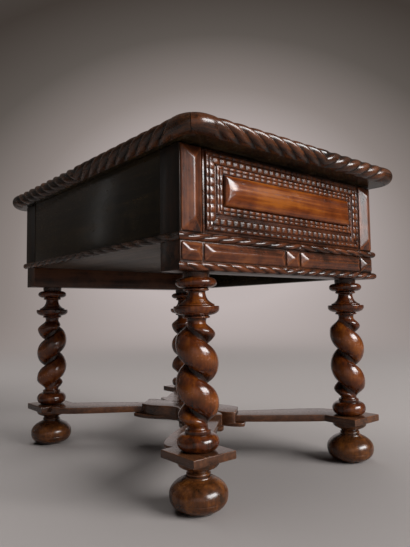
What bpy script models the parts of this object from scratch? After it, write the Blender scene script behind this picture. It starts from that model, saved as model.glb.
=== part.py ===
"""Miniature table desk on barley-twist legs, as its maker's separate pieces.

Metres, +Z up, floor at z = 0, centred on the four legs, drawer towards -Y.
"""
import math

import bmesh
import bpy
import numpy as np
from mathutils import Matrix, Vector

# Fits
GAP = 0.0003                    # between glued, seated or tenoned faces
SLIDE = 0.0006                  # between the drawer and its opening, on each side
MITRE = 0.0003                  # between mitred ends

# Case and its bed
CASE_WIDTH = 0.254
CASE_DEPTH = 0.311
CASE_HEIGHT = 0.0687            # bed to underside of the top
POST_WIDTH = 0.022
POST_DEPTH = 0.026
BOARD_THICK = 0.008             # side boards and back board
BOARD_SETBACK = 0.0004          # boards lie a hair behind the faces of the posts
BED_THICK = 0.0056
GUIDE_HEIGHT = 0.012
STOP_WIDTH = 0.040
STOP_HEIGHT = 0.008

# Top and its rope edge
TOP_THICK = 0.016
TOP_OVERHANG = 0.0215           # board beyond the case at front and rear
TOP_SIDE_OVERHANG = 0.0050      # board beyond the case at the sides
TOP_CORNER = 0.0125             # corner radius of the board in plan
EDGE_PITCH = 0.0168             # one strand to the next, along the edge
EDGE_LINES = 3                  # lines of points to a strand
EDGE_GROOVE = 0.0024            # depth of the groove between strands
EDGE_POINTS = 7                 # points round the half round
EDGE_PLAIN = 0.014              # uncarved length at each corner
EDGE_TURN = 0.020               # where the front strands change hand, right of the middle

# Rails and the small ropes
RAIL_HEIGHT = 0.0228
RAIL_DEPTH = 0.026
REAR_RAIL_SETBACK = 0.004       # rear rail in from the back of the case
RIGHT_RAIL_HEIGHT = 0.021
RIGHT_RAIL_THICK = 0.010
CASE_ROPE_RADIUS = 0.0032
RAIL_ROPE_RADIUS = 0.0033

# Raised panels
PANEL_MARGIN = 0.0008           # bare ground left round each panel
CENTRE_PANEL_WIDTH = 0.0195
PANEL_EDGE = 0.0008             # square edge under the slopes
STILE_PANEL_RISE = 0.0046
RAIL_PANEL_RISE = 0.0036

# Drawer
DRAWER_FRONT_THICK = 0.008
DRAWER_SIDE_THICK = 0.005
DRAWER_SIDE_DROP = 0.0153       # sides and back lower than the front
DRAWER_BOTTOM_THICK = 0.003
DRAWER_BOTTOM_RAISE = 0.003     # underside of the sides to underside of the bottom
DRAWER_GROOVE = 0.0025          # how far the bottom enters the sides and the front
DRAWER_REAR_ROOM = 0.012        # behind the drawer, up to the back board
DRAWER_MARGIN = 0.0022          # bare edge of the front round its mouldings
OUTER_FRAME_WIDTH = 0.0110
INNER_FRAME_WIDTH = 0.0074
OUTER_FRAME_RISE = 0.0034
INNER_FRAME_RISE = 0.0022
PILLOW_EDGE = 0.0014
PILLOW_RISE = 0.0062

# Legs
LEG_INSET_SIDE = 0.027          # axis of the leg in from the side of the case
LEG_INSET_END = 0.015           # axis of the leg in from the front or the rear of the case
LEG_HEIGHT = 0.1385             # stretcher pad to underside of the rail
LEG_SIDES = 12
TENON_RADIUS = 0.0058
TOP_TENON = 0.012
FOOT_TENON = 0.013              # how far the lower tenon enters the foot
LOWER_BUN_RADIUS = 0.0167
LOWER_BUN_HEIGHT = 0.0128
TURNING_EASE = 0.0006           # small step between two turned details
FILLET_HEIGHT = 0.0018
FILLET_RADIUS = 0.0100
NECK_RADIUS = 0.0078            # below and above the twist
NECK_HEIGHT = 0.0018            # below the twist
UPPER_NECK_HEIGHT = 0.0042
TWIST_PITCH = 0.031
OPEN_TWIST_PITCH = 0.0337       # front right leg, cut more openly than the others
FRONT_LEFT_START = 170          # degrees from +X at which a strand leaves its lower neck
FRONT_RIGHT_START = 112
REAR_START = 21
TWIST_RADIUS = 0.0170
TWIST_ROOT = 0.0075             # radius at the bottom of the groove
TWIST_RUN_OUT = 0.010           # length over which the strand dies into its neck
RINGS_PER_TURN = LEG_SIDES
COLLAR_RADIUS = 0.0108
COLLAR_HEIGHT = 0.0020
CUP_RADIUS = 0.0183
CUP_HEIGHT = 0.0076
OGEE_RADIUS = 0.0136            # where the ogee sits on the cup
OGEE_HEIGHT = 0.0118
OGEE_NECK_RADIUS = 0.0073
UPPER_BUN_RADIUS = 0.0165
UPPER_BUN_HEIGHT = 0.0080
BUN_SHOULDER = 0.0112           # where a bun meets the fillet next to it
TOP_COLLAR = 0.0040

# Feet
FOOT_HEIGHT = 0.039
FOOT_RADIUS = 0.0231
FOOT_BUN_HALF = 0.0140          # half height of the bun
FOOT_FLAT = 0.0006              # cut off the bun to stand on
FOOT_SIDES = 16
FOOT_RIM = 0.0030
FOOT_NECK = 0.0026              # height of the neck between bun and cup
FOOT_CUP_RADIUS = 0.0165
FOOT_NECK_RADIUS = 0.0086

# Stretcher
STRETCHER_THICK = 0.0066
PAD_SIZE = 0.042
ARM_WIDTH = 0.028
BLOCK_THICK = 0.0145
BLOCK_ABOVE = 0.0036            # block standing above the arms
BLOCK_WAIST = 0.018             # half width of the block at its middle
BLOCK_END = 0.044               # half length of the block on its own centre line
BLOCK_ROOT_X = 0.0215           # middle of the block's four ends
BLOCK_ROOT_Y = 0.0550
BLOCK_ROOT_WIDTH = 0.031
BLOCK_STEP = 0.010              # foot of the block that reaches out under each arm
ARM_TENON = 0.009
ARM_TENON_WIDTH = 0.018

# Levels and lines that follow
FOOT_TOP = FOOT_HEIGHT
PAD_Z = FOOT_TOP + GAP
LEG_Z = PAD_Z + STRETCHER_THICK + GAP
RAIL_Z = LEG_Z + LEG_HEIGHT + GAP
BED_Z = RAIL_Z + RAIL_HEIGHT + GAP
CASE_Z = BED_Z + BED_THICK + GAP
TOP_Z = CASE_Z + CASE_HEIGHT + GAP
TWIST_BASE = LOWER_BUN_HEIGHT + 2 * TURNING_EASE + FILLET_HEIGHT + NECK_HEIGHT
OGEE_TOP = LEG_HEIGHT - TOP_COLLAR - UPPER_BUN_HEIGHT - FILLET_HEIGHT - 2 * TURNING_EASE
CUP_RIM = OGEE_TOP - OGEE_HEIGHT
TWIST_TOP = CUP_RIM - CUP_HEIGHT - COLLAR_HEIGHT - UPPER_NECK_HEIGHT
TWIST_HEIGHT = TWIST_TOP - TWIST_BASE
EDGE_RADIUS = TOP_THICK / 2
SIDE_X = CASE_WIDTH / 2
FRONT_Y = CASE_DEPTH / 2
LEG_X = SIDE_X - LEG_INSET_SIDE
LEG_Y = FRONT_Y - LEG_INSET_END
BAY_X = SIDE_X - POST_WIDTH     # half width of the drawer's opening
BAY_Y = FRONT_Y - POST_DEPTH    # half length between front and rear posts
CASE_ROPE_Z = BED_Z + BED_THICK / 2
RAIL_ROPE_Z = RAIL_Z + RAIL_ROPE_RADIUS

SMOOTH = 50                     # degrees below which facets of one curve are shaded as one
SIDES = {"left": -1, "right": 1}
ENDS = {"front": -1, "rear": 1}

for old in list(bpy.data.objects):
    bpy.data.objects.remove(old, do_unlink=True)


def new_collection(name):
    """Collection linked to the scene."""
    collection = bpy.data.collections.new(name)
    bpy.context.scene.collection.children.link(collection)
    return collection


PARTS = new_collection("miniature_desk")
CUTTERS = new_collection("cutters")


def wood(name, colour, roughness):
    """Polished or plain timber as a Principled material."""
    finish = bpy.data.materials.new(name)
    finish.use_nodes = True
    shader = finish.node_tree.nodes["Principled BSDF"]
    shader.inputs["Base Color"].default_value = (*colour, 1.0)
    shader.inputs["Roughness"].default_value = roughness
    shader.inputs["Metallic"].default_value = 0.0
    finish.diffuse_color = (*colour, 1.0)
    return finish


DARK = wood("dark_rosewood", (0.045, 0.020, 0.012), 0.30)
TURNED = wood("turned_rosewood", (0.150, 0.050, 0.020), 0.24)
CARVED = wood("carved_rosewood", (0.110, 0.042, 0.020), 0.26)
FIGURED = wood("figured_rosewood", (0.330, 0.095, 0.025), 0.25)
INNER = wood("inner_softwood", (0.300, 0.180, 0.085), 0.60)


def add_part(name, mesh, finish, smooth_angle=None):
    """Named piece with its finish, shaded smooth below the given angle."""
    mesh.materials.append(finish)
    if smooth_angle is not None:
        mesh.shade_smooth()
        mesh.set_sharp_from_angle(angle=math.radians(smooth_angle))
    part = bpy.data.objects.new(name, mesh)
    PARTS.objects.link(part)
    return part


def mesh_from(name, shape):
    """Mesh made from a bmesh, its faces turned outwards."""
    bmesh.ops.recalc_face_normals(shape, faces=shape.faces)
    mesh = bpy.data.meshes.new(name)
    shape.to_mesh(mesh)
    shape.free()
    return mesh


def box_mesh(name, low, high):
    """Box between two corners."""
    low, high = Vector(low), Vector(high)
    shape = bmesh.new()
    place = Matrix.Translation((low + high) / 2) @ Matrix.Diagonal((*(high - low), 1.0))
    bmesh.ops.create_cube(shape, size=1.0, matrix=place)
    return mesh_from(name, shape)


def add_box(name, low, high, finish):
    """Board or block between two corners."""
    return add_part(name, box_mesh(name, low, high), finish)


def combine(part, mesh, operation, place=None):
    """Joins a shape to a part, or takes it out of the part."""
    cutter = bpy.data.objects.new(f"{part.name}_cutter_{len(part.modifiers)}", mesh)
    cutter.matrix_world = place or Matrix.Identity(4)
    cutter.hide_render = True
    cutter.display_type = "WIRE"
    CUTTERS.objects.link(cutter)
    step = part.modifiers.new(operation.lower(), "BOOLEAN")
    step.operation = operation
    step.object = cutter


def cut(part, mesh, place=None):
    """Takes a shape out of a part."""
    combine(part, mesh, "DIFFERENCE", place)


def bore(part, x, y, low, high, radius):
    """Upright round hole between two levels."""
    shape = bmesh.new()
    place = Matrix.Translation((x, y, (low + high) / 2))
    bmesh.ops.create_cone(shape, cap_ends=True, segments=LEG_SIDES, radius1=radius,
                          radius2=radius, depth=high - low, matrix=place)
    cut(part, mesh_from("bore", shape))


def loft(name, rings, split=False):
    """Closed body through a stack of rings with equal counts of points, capped at both ends.

    Faces can be split along their shorter diagonals.
    """
    rings = np.asarray(rings, dtype=float)
    count, points = rings.shape[:2]
    shape = bmesh.new()
    verts = [shape.verts.new(point) for point in rings.reshape(-1, 3)]
    for i in range(count - 1):
        for j in range(points):
            k = (j + 1) % points
            shape.faces.new((verts[i * points + j], verts[i * points + k],
                             verts[(i + 1) * points + k], verts[(i + 1) * points + j]))
    if split:
        bmesh.ops.triangulate(shape, faces=shape.faces, quad_method="SHORT_EDGE")
    shape.faces.new(verts[:points])
    shape.faces.new(verts[-points:])
    return mesh_from(name, shape)


def arc(centre, radius, start, end, count):
    """Points on a circle, or on an ellipse where the radius is a pair, angles in degrees."""
    radius = np.broadcast_to(radius, 2)
    angles = np.radians(np.linspace(start, end, count))
    return np.stack([centre[0] + radius[0] * np.cos(angles),
                     centre[1] + radius[1] * np.sin(angles)], axis=1)


def bezier(points, count):
    """Cubic Bezier through its first and last of four points, without the last point."""
    a, b, c, d = (np.array(point) for point in points)
    t = np.linspace(0.0, 1.0, count, endpoint=False)[:, None]
    return a * (1 - t) ** 3 + 3 * b * t * (1 - t) ** 2 + 3 * c * t * t * (1 - t) + d * t ** 3


def slab(name, outline, low, thick):
    """Flat piece of the given plan outline, as a filled curve made into a mesh."""
    curve = bpy.data.curves.new(name, "CURVE")
    curve.dimensions = "2D"
    curve.fill_mode = "BOTH"
    curve.extrude = thick / 2
    spline = curve.splines.new("POLY")
    spline.points.add(len(outline) - 1)
    for point, (x, y) in zip(spline.points, outline):
        point.co = (x, y, 0.0, 1.0)
    spline.use_cyclic_u = True
    flat = bpy.data.objects.new(name, curve)
    flat.location.z = low + thick / 2
    bpy.context.scene.collection.objects.link(flat)
    bpy.context.view_layer.update()
    filled = flat.evaluated_get(bpy.context.evaluated_depsgraph_get())
    mesh = bpy.data.meshes.new_from_object(filled)
    mesh.transform(flat.matrix_world)
    bpy.data.objects.remove(flat, do_unlink=True)
    shape = bmesh.new()
    shape.from_mesh(mesh)
    bmesh.ops.remove_doubles(shape, verts=shape.verts, dist=1e-6)
    return mesh_from(name, shape)


def turned(name, profile, x, y, finish):
    """Round piece about an upright axis, from a profile of radius and height run down its outer side."""
    mesh = bpy.data.meshes.new(name)
    points = [(radius, 0.0, height) for radius, height in profile]
    mesh.from_pydata(points, [(i, i + 1) for i in range(len(points) - 1)], [])
    mesh.materials.append(finish)
    part = bpy.data.objects.new(name, mesh)
    part.location = (x, y, 0.0)
    PARTS.objects.link(part)
    screw = part.modifiers.new("turn", "SCREW")
    screw.axis = "Z"
    screw.steps = FOOT_SIDES
    screw.render_steps = FOOT_SIDES
    screw.use_merge_vertices = True
    screw.merge_threshold = 0.00005
    screw.use_smooth_shade = True
    return part


def hipped_panel(name, x0, x1, z0, z1, rise, finish):
    """Raised panel on a front face: a square edge, four slopes and a ridge along the longer way."""
    x, y, z = (x0 + x1) / 2, -FRONT_Y - GAP, (z0 + z1) / 2
    width, height = x1 - x0 - 2 * PANEL_MARGIN, z1 - z0 - 2 * PANEL_MARGIN
    half = (min(width, height) - PANEL_EDGE) / 2
    ridge = Vector((max(0.0, width / 2 - half), 0.0, max(0.0, height / 2 - half)))
    if width >= height:
        ridge.z = 0.0
    else:
        ridge.x = 0.0
    shape = bmesh.new()
    for depth in (0.0, PANEL_EDGE):
        for across in (-1, 1):
            for up in (-1, 1):
                shape.verts.new((x + across * width / 2, y - depth, z + up * height / 2))
    for way in (-1, 1):
        shape.verts.new(Vector((x, y - PANEL_EDGE - rise, z)) + way * ridge)
    bmesh.ops.convex_hull(shape, input=shape.verts)
    return add_part(name, mesh_from(name, shape), finish)


def build_feet():
    """Bun feet with a cup and neck above, bored for the leg's lower tenon."""
    low = FOOT_TOP - FOOT_TENON - GAP
    hole = TENON_RADIUS + GAP
    middle = FOOT_BUN_HALF - FOOT_FLAT
    start = math.degrees(math.acos(FOOT_NECK_RADIUS / FOOT_RADIUS))
    end = math.degrees(math.asin(-middle / FOOT_BUN_HALF))
    bun = arc((0.0, middle), (FOOT_RADIUS, FOOT_BUN_HALF), start, end, 9)
    neck = bun[0][1] + FOOT_NECK
    rim = FOOT_TOP - FOOT_RIM
    bend = (rim - neck) * 0.45
    cup = bezier([(FOOT_CUP_RADIUS, rim), (FOOT_CUP_RADIUS, rim - bend),
                  (FOOT_NECK_RADIUS, neck + bend), (FOOT_NECK_RADIUS, neck)], 4)
    profile = [(0.0, low), (hole, low), (hole, FOOT_TOP), (FOOT_CUP_RADIUS - TURNING_EASE, FOOT_TOP),
               *cup, (FOOT_NECK_RADIUS, neck), *bun, (0.0, bun[-1][1])]
    for end_name, way in ENDS.items():
        for side, hand in SIDES.items():
            turned(f"foot_{end_name}_{side}", profile, hand * LEG_X, way * LEG_Y, TURNED)


def bun_profile(low, height, radius):
    """Rounded bead from its lower to its upper shoulder."""
    return arc((BUN_SHOULDER, low + height / 2), (radius - BUN_SHOULDER, height / 2), -90, 90, 6)


def leg_profile():
    """Turned stretches of the leg below and above its twist, as radius and height above the shoulder."""
    fillet = LOWER_BUN_HEIGHT + TURNING_EASE
    below = [(TENON_RADIUS, -STRETCHER_THICK - 2 * GAP - FOOT_TENON), (TENON_RADIUS, 0.0),
             *bun_profile(0.0, LOWER_BUN_HEIGHT, LOWER_BUN_RADIUS),
             (FILLET_RADIUS, fillet), (FILLET_RADIUS, fillet + FILLET_HEIGHT),
             (NECK_RADIUS, fillet + FILLET_HEIGHT + TURNING_EASE)]
    neck = TWIST_TOP + UPPER_NECK_HEIGHT
    collar = neck + COLLAR_HEIGHT
    swell = (CUP_RADIUS - COLLAR_RADIUS) * 0.75
    cup = bezier([(COLLAR_RADIUS, collar), (COLLAR_RADIUS, collar + CUP_HEIGHT / 4),
                  (COLLAR_RADIUS + swell, collar + CUP_HEIGHT / 2),
                  (CUP_RADIUS, CUP_RIM - 2 * TURNING_EASE)], 4)
    ogee = bezier([(OGEE_RADIUS, CUP_RIM + TURNING_EASE), (OGEE_RADIUS, CUP_RIM + OGEE_HEIGHT / 2),
                   (OGEE_NECK_RADIUS, CUP_RIM + OGEE_HEIGHT / 2), (OGEE_NECK_RADIUS, OGEE_TOP)], 4)
    fillet = OGEE_TOP + TURNING_EASE
    bun = fillet + FILLET_HEIGHT + TURNING_EASE
    above = [(NECK_RADIUS, neck), (COLLAR_RADIUS, neck + TURNING_EASE), *cup, (CUP_RADIUS, CUP_RIM), *ogee,
             (OGEE_NECK_RADIUS, OGEE_TOP), (FILLET_RADIUS, fillet), (FILLET_RADIUS, fillet + FILLET_HEIGHT),
             *bun_profile(bun, UPPER_BUN_HEIGHT, UPPER_BUN_RADIUS),
             (COLLAR_RADIUS, LEG_HEIGHT), (TENON_RADIUS, LEG_HEIGHT), (TENON_RADIUS, LEG_HEIGHT + TOP_TENON)]
    return below, above


def leg_rings(hand, pitch, start):
    """Sections up the leg. In the twist, one round section with a notch turns steadily with height."""
    spread = np.linspace(0.0, 2 * math.pi, LEG_SIDES, endpoint=False)
    away = np.abs((spread + math.pi) % (2 * math.pi) - math.pi) / math.pi
    swell = np.sqrt(1.0 - away ** 2)

    def ring(radius, height, turn):
        angles = spread + math.radians(start) + hand * turn
        return np.stack([radius * np.cos(angles), radius * np.sin(angles),
                         np.full(LEG_SIDES, height)], axis=1)

    below, above = leg_profile()
    full_turn = 2 * math.pi * TWIST_HEIGHT / pitch
    rings = [ring(np.full(LEG_SIDES, radius), height, 0.0) for radius, height in below]
    for step in np.linspace(0.0, 1.0, round(RINGS_PER_TURN * TWIST_HEIGHT / pitch) + 1):
        to_end = min(step, 1.0 - step) * TWIST_HEIGHT
        grown = math.sin(math.pi / 2 * min(1.0, to_end / TWIST_RUN_OUT))
        radius = TWIST_ROOT + (TWIST_RADIUS - TWIST_ROOT) * swell * grown
        rings.append(ring(radius, TWIST_BASE + step * TWIST_HEIGHT, step * full_turn))
    rings += [ring(np.full(LEG_SIDES, radius), height, full_turn) for radius, height in above]
    return np.array(rings)


def build_legs():
    """Twisted legs with a round tenon at each end; the front pair and the rear pair differ in hand."""
    front = {"left": (TWIST_PITCH, FRONT_LEFT_START), "right": (OPEN_TWIST_PITCH, FRONT_RIGHT_START)}
    for end_name, way in ENDS.items():
        for side, hand in SIDES.items():
            pitch, start = front[side] if end_name == "front" else (TWIST_PITCH, REAR_START)
            rings = leg_rings(way, pitch, start)
            name = f"leg_{end_name}_{side}"
            leg = add_part(name, loft(name, rings, True), TURNED, SMOOTH)
            leg.location = (hand * LEG_X, way * LEG_Y, LEG_Z)


def root_line():
    """End of the centre block that takes one arm, in the +X +Y quarter: middle, outward way, along way."""
    middle = np.array((BLOCK_ROOT_X, BLOCK_ROOT_Y))
    pad_corner = np.array((LEG_X - PAD_SIZE / 2, LEG_Y - PAD_SIZE / 2))
    out = (pad_corner - middle) / np.linalg.norm(pad_corner - middle)
    return middle, out, np.array((out[1], -out[0]))


def arm_outline():
    """Plan of one arm in the +X +Y quarter: square pad, notch and lobe, bowed arm, tenon."""
    middle, out, along = root_line()
    start = middle + out * GAP
    half = PAD_SIZE / 2
    inner_x, outer_x = LEG_X - half, LEG_X + half
    inner_y, outer_y = LEG_Y - half, LEG_Y + half
    end_root = start - along * ARM_WIDTH / 2
    side_root = start + along * ARM_WIDTH / 2
    cheek = along * ARM_TENON_WIDTH / 2
    tenon = [start - cheek, start - cheek - out * ARM_TENON, start + cheek - out * ARM_TENON, start + cheek]
    notch = half * 0.28
    end_edge = bezier([(inner_x, inner_y + notch), (inner_x - notch, inner_y + notch * 0.5),
                       end_root + out * ARM_WIDTH * 0.9, end_root], 7)
    lobe_tip = np.array((outer_x - notch * 1.6, inner_y - notch * 0.8))
    side_edge = bezier([side_root, side_root + out * ARM_WIDTH * 0.9,
                        lobe_tip - np.array((0.1, 0.9)) * ARM_WIDTH, lobe_tip], 8)
    return [(outer_x, outer_y), (inner_x, outer_y), *end_edge, end_root, *tenon, side_root,
            *side_edge[1:], lobe_tip, (lobe_tip[0] - notch * 0.3, inner_y), (outer_x, inner_y)]


def block_outline():
    """Plan of the centre block: four straight ends with cusps, and hollow sides between them."""
    middle, _, along = root_line()
    end_cusp = middle - along * BLOCK_ROOT_WIDTH / 2
    side_cusp = middle + along * BLOCK_ROOT_WIDTH / 2
    waist = np.array((BLOCK_WAIST, 0.0))
    end = np.array((0.0, BLOCK_END))
    side_curve = bezier([waist, waist + (0.0, side_cusp[1] * 0.35),
                         (side_cusp[0] * 1.05, side_cusp[1] * 0.4), side_cusp], 5)
    end_curve = bezier([end_cusp, (end_cusp[0] * 0.5, end_cusp[1]),
                        (end_cusp[0] * 0.1, (end_cusp[1] + BLOCK_END) / 2), end], 4)
    quarter = np.array([*side_curve, side_cusp, *end_curve])
    half = np.array([*quarter, end, *(quarter[:0:-1] * (-1, 1))])
    return np.array([*half, *(half * (-1, -1))])


def build_stretcher():
    """Flat crossed stretcher: four arms with bored pads, tenoned into a thicker block that steps out."""
    block_z = PAD_Z + STRETCHER_THICK + BLOCK_ABOVE - BLOCK_THICK
    name = "stretcher_centre"
    block = add_part(name, slab(name, block_outline(), block_z, BLOCK_THICK), CARVED)
    middle, out, along = root_line()
    outline = np.array(arm_outline())
    deep = ARM_TENON + GAP
    step = box_mesh("step", (-deep, -ARM_WIDTH / 2, block_z + GAP),
                    (BLOCK_STEP, ARM_WIDTH / 2, PAD_Z - 2 * GAP))
    slot = box_mesh("slot", (-deep, -ARM_TENON_WIDTH / 2 - GAP, PAD_Z - GAP),
                    (deep, ARM_TENON_WIDTH / 2 + GAP, PAD_Z + STRETCHER_THICK + GAP))
    for end_name, way in ENDS.items():
        for side, hand in SIDES.items():
            quarter = np.array((hand, way))
            name = f"stretcher_arm_{end_name}_{side}"
            arm = add_part(name, slab(name, outline * quarter, PAD_Z, STRETCHER_THICK), CARVED)
            bore(arm, hand * LEG_X, way * LEG_Y, PAD_Z - STRETCHER_THICK, PAD_Z + 2 * STRETCHER_THICK,
                 TENON_RADIUS + GAP)
            heading = math.atan2(out[1] * way, out[0] * hand)
            x, y = middle * quarter
            place = Matrix.Translation((x, y, 0.0)) @ Matrix.Rotation(heading, 4, "Z")
            combine(block, step, "UNION", place)
            cut(block, slot, place)


def build_rails():
    """Front and rear rails that the legs are tenoned into, and the one side rail."""
    faces = {"front": -FRONT_Y, "rear": FRONT_Y - REAR_RAIL_SETBACK}
    for end_name, way in ENDS.items():
        y0, y1 = sorted((faces[end_name], way * (FRONT_Y - RAIL_DEPTH)))
        rail = add_box(f"{end_name}_rail", (-SIDE_X, y0, RAIL_Z), (SIDE_X, y1, RAIL_Z + RAIL_HEIGHT), CARVED)
        for hand in SIDES.values():
            bore(rail, hand * LEG_X, way * LEG_Y, RAIL_Z - TOP_TENON, RAIL_Z + TOP_TENON + GAP,
                 TENON_RADIUS + GAP)
    reach = FRONT_Y - RAIL_DEPTH - GAP
    top = RAIL_Z + RAIL_HEIGHT
    add_box("right_rail", (SIDE_X - RIGHT_RAIL_THICK, -reach, top - RIGHT_RAIL_HEIGHT),
            (SIDE_X, reach, top), DARK)


def build_rail_panels():
    """Row of five raised panels along the front rail."""
    low = RAIL_ROPE_Z + RAIL_ROPE_RADIUS
    high = CASE_ROPE_Z - CASE_ROPE_RADIUS
    stops = [-SIDE_X, -BAY_X, -CENTRE_PANEL_WIDTH / 2, CENTRE_PANEL_WIDTH / 2, BAY_X, SIDE_X]
    names = ["left_end", "left", "centre", "right", "right_end"]
    for name, start, end in zip(names, stops[:-1], stops[1:]):
        hipped_panel(f"rail_panel_{name}", start, end, low, high, RAIL_PANEL_RISE, CARVED)


def half_round(name, start, end, radius):
    """Straight half-round bead on a face; each end is given at its back and at its crest."""
    bead = arc((0.0, 0.0), radius, -90, 90, 7)
    rings = []
    for back, crest in (start, end):
        back, crest = np.array(back), np.array(crest)
        share = bead[:, :1] / radius
        rings.append(back + share * (crest - back) + bead[:, 1:] * np.array((0.0, 0.0, 1.0)))
    return add_part(name, loft(name, rings), CARVED, SMOOTH)


def build_small_ropes():
    """Beads on the edge of the bed at front and sides, and along the foot of the front rail."""
    z = CASE_ROPE_Z
    r = CASE_ROPE_RADIUS
    x, y = SIDE_X + GAP, FRONT_Y + GAP
    corner = r - MITRE
    half_round("case_rope_front", ((-x, -y, z), (-x - corner, -y - r, z)),
               ((x, -y, z), (x + corner, -y - r, z)), r)
    for side, hand in SIDES.items():
        half_round(f"case_rope_{side}", ((hand * x, -y + MITRE, z), (hand * (x + r), -y - corner + MITRE, z)),
                   ((hand * x, FRONT_Y, z), (hand * (x + r), FRONT_Y, z)), r)
    r = RAIL_ROPE_RADIUS
    z = RAIL_ROPE_Z
    half_round("rail_rope_front", ((-x, -y, z), (-x - r, -y - r, z)), ((x, -y, z), (x + r, -y - r, z)), r)


def build_case():
    """Bed, four posts, side and back boards, raised stile panels and the drawer's guides and stop."""
    top = CASE_Z + CASE_HEIGHT
    add_box("case_bottom", (-SIDE_X, -FRONT_Y, BED_Z), (SIDE_X, FRONT_Y, BED_Z + BED_THICK), DARK)
    for end_name, way in ENDS.items():
        for side, hand in SIDES.items():
            x0, x1 = sorted((hand * SIDE_X, hand * BAY_X))
            y0, y1 = sorted((way * FRONT_Y, way * BAY_Y))
            add_box(f"post_{end_name}_{side}", (x0, y0, CASE_Z), (x1, y1, top), DARK)
    reach = BAY_Y - GAP
    board_out = SIDE_X - BOARD_SETBACK
    board_in = board_out - BOARD_THICK
    for side, hand in SIDES.items():
        x0, x1 = sorted((hand * board_out, hand * board_in))
        add_box(f"side_board_{side}", (x0, -reach, CASE_Z), (x1, reach, top), DARK)
        x0, x1 = sorted((hand * (board_in - GAP), hand * BAY_X))
        add_box(f"drawer_guide_{side}", (x0, -reach, CASE_Z), (x1, reach, CASE_Z + GUIDE_HEIGHT), INNER)
        x0, x1 = sorted((hand * SIDE_X, hand * BAY_X))
        low = CASE_ROPE_Z + CASE_ROPE_RADIUS
        hipped_panel(f"stile_panel_{side}", x0, x1, low, top, STILE_PANEL_RISE, CARVED)
    back_out = FRONT_Y - BOARD_SETBACK
    back_in = back_out - BOARD_THICK
    add_box("back_board", (-BAY_X + GAP, back_in, CASE_Z), (BAY_X - GAP, back_out, top), DARK)
    stop = back_in - DRAWER_REAR_ROOM + SLIDE
    add_box("drawer_stop", (-STOP_WIDTH / 2, stop, CASE_Z),
            (STOP_WIDTH / 2, back_in - GAP, CASE_Z + STOP_HEIGHT), INNER)


def top_half_sizes():
    """Half width and half length of the top board."""
    return SIDE_X + TOP_SIDE_OVERHANG, FRONT_Y + TOP_OVERHANG


def edge_path(half_run, half_across):
    """Back line of one edge strip: straight, then round half of each corner.

    Gives a function from distance to plan points and outward ways, and the half length of the line. Round
    the corners the line swings wider by the sag of its own chords, so that they clear the board.
    """
    radius = TOP_CORNER + GAP
    straight = half_run - TOP_CORNER
    quarter = radius * math.pi / 4
    sag = radius / math.cos(EDGE_PITCH / EDGE_LINES / 2 / radius) - radius

    def place(s):
        past = np.clip(np.abs(s) - straight, 0.0, quarter)
        turn = past / radius * np.sign(s)
        reach = radius + sag * (past > 0.0)
        along = np.clip(s, -straight, straight) + reach * np.sin(turn)
        across = half_across - TOP_CORNER + reach * np.cos(turn)
        return np.stack([along, across], axis=-1), np.stack([np.sin(turn), np.cos(turn)], axis=-1)

    return place, straight + quarter


def carved_depth(far, strands, end):
    """Groove depth by the count of strands from the turning point: grooves that fade before the corner."""
    groove = (1.0 - np.abs(np.sin(math.pi * strands))) ** 1.5
    return EDGE_GROOVE * groove * np.clip((end - EDGE_PLAIN - far) / (EDGE_PITCH / 3), 0.0, 1.0)


def rope_edge(name, half_run, half_across, turn_at, place_in_plan):
    """Half-round strip whose slanting strands lean outwards from a turning point.

    Lines of points follow the strands, and are held back at the turning point and at the mitres. The flat
    back joins points at equal distance along the strip.
    """
    path, half_length = edge_path(half_run, half_across)
    angles = np.radians(np.linspace(-90, 90, EDGE_POINTS))
    lean = EDGE_LINES
    last = half_length - MITRE / 2
    shape = bmesh.new()
    for way in (-1, 1):
        end = last - way * turn_at
        lines = round(end / EDGE_PITCH * EDGE_LINES)
        step = end / lines
        row = np.arange(-lean + 1, lines + lean)[:, None]
        far = np.clip((row + lean * angles / math.pi) * step, 0.0, end)
        strands = (far / step - lean * angles / math.pi) / EDGE_LINES
        radius = EDGE_RADIUS - carved_depth(far, strands, end) * np.sqrt(np.abs(np.cos(angles)))
        back, out = path(turn_at + way * far)
        plan = back + out * (radius * np.cos(angles))[..., None]
        z = TOP_Z + TOP_THICK / 2 + radius * np.sin(angles)
        plan = place_in_plan(plan)
        points = np.concatenate([plan, z[..., None]], axis=-1)
        grid = [[shape.verts.new(point) for point in line] for line in points]
        for a, b in zip(grid[:-1], grid[1:]):
            for k in range(EDGE_POINTS - 1):
                shape.faces.new((a[k], b[k], b[k + 1], a[k + 1]))
        for i in range(len(row) - 1 - lean):
            shape.faces.new((grid[i][-1], grid[i + 1][-1], grid[i + 1 + lean][0], grid[i + lean][0]))
        shape.faces.new(grid[-1])
    bmesh.ops.remove_doubles(shape, verts=shape.verts, dist=1e-6)
    return add_part(name, mesh_from(name, shape), CARVED, SMOOTH)


def build_top():
    """Top board with round corners and its four mitred rope edges."""
    half_x, half_y = top_half_sizes()
    corner = np.array((half_x - TOP_CORNER, half_y - TOP_CORNER))
    outline = []
    for quarter, hand in enumerate(((1, 1), (-1, 1), (-1, -1), (1, -1))):
        outline.extend(arc(corner * hand, TOP_CORNER, 90 * quarter, 90 * quarter + 90, 5))
    add_part("top_board", slab("top_board", np.array(outline), TOP_Z, TOP_THICK), DARK)
    rope_edge("top_edge_front", half_x, half_y, EDGE_TURN, lambda plan: plan * (1, -1))
    rope_edge("top_edge_rear", half_x, half_y, 0.0, lambda plan: plan)
    rope_edge("top_edge_left", half_y, half_x, 0.0, lambda plan: plan[..., ::-1] * (-1, 1))
    rope_edge("top_edge_right", half_y, half_x, 0.0, lambda plan: plan[..., ::-1])


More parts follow.
